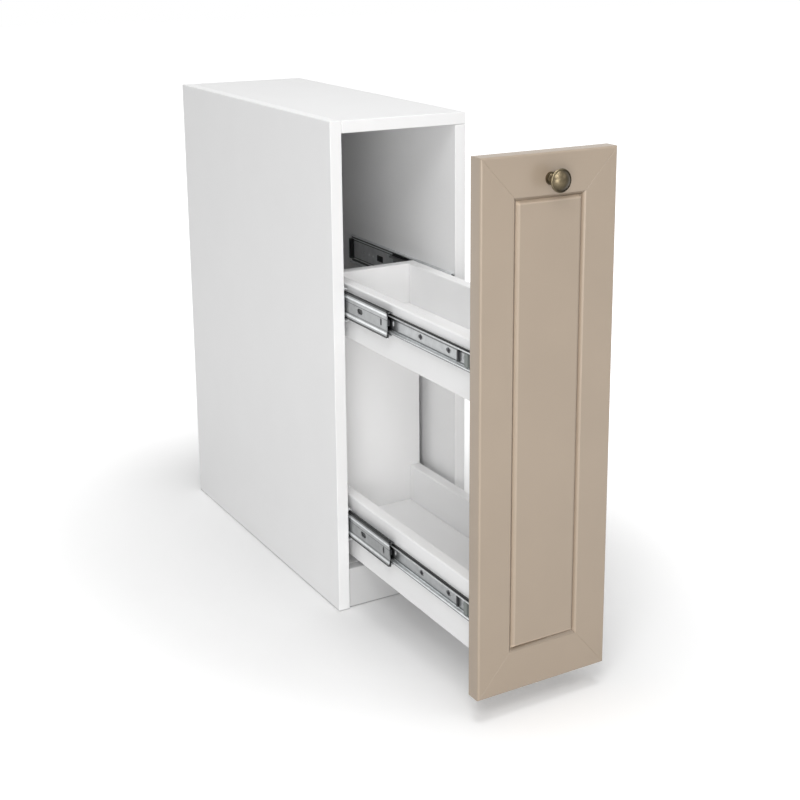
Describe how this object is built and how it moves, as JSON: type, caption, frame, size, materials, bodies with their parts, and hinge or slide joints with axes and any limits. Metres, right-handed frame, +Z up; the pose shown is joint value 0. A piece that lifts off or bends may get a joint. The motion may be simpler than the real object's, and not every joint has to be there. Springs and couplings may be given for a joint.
{
  "type": "pull-out kitchen base cabinet",
  "caption": "Narrow white floor-standing kitchen cabinet with a taupe mitred front, a round knob and a pull-out of two drawer boxes on ball-bearing slides.",
  "frame": {"origin": "on the floor, at the centre of the plinth board's underside", "axes": "+X to the viewer's right when facing the front, -Y out of the cabinet towards the viewer, +Z up"},
  "size_m": [0.2, 0.875, 0.67],
  "materials": {
    "white_board": "white melamine-faced chipboard, satin",
    "back_board": "white-faced hardboard, matte",
    "drawer_board": "white melamine-faced chipboard, satin",
    "taupe_front": "taupe foil-wrapped fibreboard, silk matte",
    "aged_brass": "aged brass, dark and satin",
    "slide_steel": "zinc-plated steel sheet",
    "ball_steel": "polished bearing steel",
    "zinc_fittings": "zinc-plated fittings",
    "zinc_screws": "zinc-plated screws",
    "black_screws": "black-finished screws",
    "black_plastic": "black moulded plastic",
    "beech_dowels": "fluted beech dowels, plain"
  },
  "bodies": {
    "cabinet": {"left_side_panel": "white_board", "right_side_panel": "white_board", "top_panel": "white_board", "bottom_panel": "white_board", "plinth_board": "white_board", "back_panel": "back_board", "cam_locks": "zinc_fittings", "connecting_bolts": "zinc_fittings", "carcass_dowels": "beech_dowels", "slide_to_cabinet_screws": "zinc_screws", "slide_rear_bumpers": "black_plastic", "upper_left_cabinet_member": "slide_steel", "upper_right_cabinet_member": "slide_steel", "lower_left_cabinet_member": "slide_steel", "lower_right_cabinet_member": "slide_steel"},
    "pull_out": {"left_stile": "taupe_front", "right_stile": "taupe_front", "top_rail": "taupe_front", "bottom_rail": "taupe_front", "centre_panel": "taupe_front", "knob": "aged_brass", "knob_screw": "zinc_screws", "tall_back_board": "drawer_board", "upper_left_drawer_side": "drawer_board", "upper_right_drawer_side": "drawer_board", "upper_drawer_floor": "drawer_board", "upper_drawer_front_board": "drawer_board", "lower_left_drawer_side": "drawer_board", "lower_right_drawer_side": "drawer_board", "lower_drawer_floor": "drawer_board", "lower_drawer_front_board": "drawer_board", "drawer_dowels": "beech_dowels", "front_fixing_screws": "zinc_screws", "slide_to_drawer_screws": "black_screws", "slide_front_stops": "black_plastic", "upper_left_drawer_member": "slide_steel", "upper_right_drawer_member": "slide_steel", "lower_left_drawer_member": "slide_steel", "lower_right_drawer_member": "slide_steel"},
    "upper_left_intermediate": {"upper_left_intermediate_member": "slide_steel"},
    "upper_left_outer_cage": {"upper_left_outer_ball_cage": "slide_steel"},
    "upper_left_inner_cage": {"upper_left_inner_ball_cage": "black_plastic", "upper_left_inner_balls": "ball_steel"},
    "upper_left_lever": {"upper_left_release_lever": "black_plastic"},
    "upper_right_intermediate": {"upper_right_intermediate_member": "slide_steel"},
    "upper_right_outer_cage": {"upper_right_outer_ball_cage": "slide_steel"},
    "upper_right_inner_cage": {"upper_right_inner_ball_cage": "black_plastic", "upper_right_inner_balls": "ball_steel"},
    "upper_right_lever": {"upper_right_release_lever": "black_plastic"},
    "lower_left_intermediate": {"lower_left_intermediate_member": "slide_steel"},
    "lower_left_outer_cage": {"lower_left_outer_ball_cage": "slide_steel"},
    "lower_left_inner_cage": {"lower_left_inner_ball_cage": "black_plastic", "lower_left_inner_balls": "ball_steel"},
    "lower_left_lever": {"lower_left_release_lever": "black_plastic"},
    "lower_right_intermediate": {"lower_right_intermediate_member": "slide_steel"},
    "lower_right_outer_cage": {"lower_right_outer_ball_cage": "slide_steel"},
    "lower_right_inner_cage": {"lower_right_inner_ball_cage": "black_plastic", "lower_right_inner_balls": "ball_steel"},
    "lower_right_lever": {"lower_right_release_lever": "black_plastic"}
  },
  "joints": [
    {"name": "pull_out_slide", "type": "slide", "parent": "cabinet", "child": "pull_out", "axis": [0, -1, 0], "range_m": [-0.317, 0.008]},
    {"name": "upper_left_intermediate_slide", "type": "slide", "parent": "cabinet", "child": "upper_left_intermediate", "axis": [0, -1, 0], "range_m": [-0.1269, 0.0033]},
    {"name": "upper_left_outer_cage_slide", "type": "slide", "parent": "cabinet", "child": "upper_left_outer_cage", "axis": [0, -1, 0], "range_m": [-0.0635, 0.0017]},
    {"name": "upper_left_inner_cage_slide", "type": "slide", "parent": "cabinet", "child": "upper_left_inner_cage", "axis": [0, -1, 0], "range_m": [-0.222, 0.0057]},
    {"name": "upper_left_lever_hinge", "type": "hinge", "parent": "pull_out", "child": "upper_left_lever", "pos_m": [-0.07716, -0.087, 0.43], "axis": [1, 0, 0], "range_deg": [-6, 6], "stiffness_Nm_per_rad": 0.02},
    {"name": "upper_right_intermediate_slide", "type": "slide", "parent": "cabinet", "child": "upper_right_intermediate", "axis": [0, -1, 0], "range_m": [-0.1269, 0.0033]},
    {"name": "upper_right_outer_cage_slide", "type": "slide", "parent": "cabinet", "child": "upper_right_outer_cage", "axis": [0, -1, 0], "range_m": [-0.0635, 0.0017]},
    {"name": "upper_right_inner_cage_slide", "type": "slide", "parent": "cabinet", "child": "upper_right_inner_cage", "axis": [0, -1, 0], "range_m": [-0.222, 0.0057]},
    {"name": "upper_right_lever_hinge", "type": "hinge", "parent": "pull_out", "child": "upper_right_lever", "pos_m": [0.07716, -0.087, 0.43], "axis": [1, 0, 0], "range_deg": [-6, 6], "stiffness_Nm_per_rad": 0.02},
    {"name": "lower_left_intermediate_slide", "type": "slide", "parent": "cabinet", "child": "lower_left_intermediate", "axis": [0, -1, 0], "range_m": [-0.1269, 0.0033]},
    {"name": "lower_left_outer_cage_slide", "type": "slide", "parent": "cabinet", "child": "lower_left_outer_cage", "axis": [0, -1, 0], "range_m": [-0.0635, 0.0017]},
    {"name": "lower_left_inner_cage_slide", "type": "slide", "parent": "cabinet", "child": "lower_left_inner_cage", "axis": [0, -1, 0], "range_m": [-0.222, 0.0057]},
    {"name": "lower_left_lever_hinge", "type": "hinge", "parent": "pull_out", "child": "lower_left_lever", "pos_m": [-0.07716, -0.087, 0.123], "axis": [1, 0, 0], "range_deg": [-6, 6], "stiffness_Nm_per_rad": 0.02},
    {"name": "lower_right_intermediate_slide", "type": "slide", "parent": "cabinet", "child": "lower_right_intermediate", "axis": [0, -1, 0], "range_m": [-0.1269, 0.0033]},
    {"name": "lower_right_outer_cage_slide", "type": "slide", "parent": "cabinet", "child": "lower_right_outer_cage", "axis": [0, -1, 0], "range_m": [-0.0635, 0.0017]},
    {"name": "lower_right_inner_cage_slide", "type": "slide", "parent": "cabinet", "child": "lower_right_inner_cage", "axis": [0, -1, 0], "range_m": [-0.222, 0.0057]},
    {"name": "lower_right_lever_hinge", "type": "hinge", "parent": "pull_out", "child": "lower_right_lever", "pos_m": [0.07716, -0.087, 0.123], "axis": [1, 0, 0], "range_deg": [-6, 6], "stiffness_Nm_per_rad": 0.02}
  ],
  "couplings": [
    {"joint": "upper_left_intermediate_slide", "follows": "pull_out_slide", "ratio": 0.4},
    {"joint": "upper_left_outer_cage_slide", "follows": "pull_out_slide", "ratio": 0.2},
    {"joint": "upper_left_inner_cage_slide", "follows": "pull_out_slide", "ratio": 0.7},
    {"joint": "upper_right_intermediate_slide", "follows": "pull_out_slide", "ratio": 0.4},
    {"joint": "upper_right_outer_cage_slide", "follows": "pull_out_slide", "ratio": 0.2},
    {"joint": "upper_right_inner_cage_slide", "follows": "pull_out_slide", "ratio": 0.7},
    {"joint": "lower_left_intermediate_slide", "follows": "pull_out_slide", "ratio": 0.4},
    {"joint": "lower_left_outer_cage_slide", "follows": "pull_out_slide", "ratio": 0.2},
    {"joint": "lower_left_inner_cage_slide", "follows": "pull_out_slide", "ratio": 0.7},
    {"joint": "lower_right_intermediate_slide", "follows": "pull_out_slide", "ratio": 0.4},
    {"joint": "lower_right_outer_cage_slide", "follows": "pull_out_slide", "ratio": 0.2},
    {"joint": "lower_right_inner_cage_slide", "follows": "pull_out_slide", "ratio": 0.7}
  ]
}
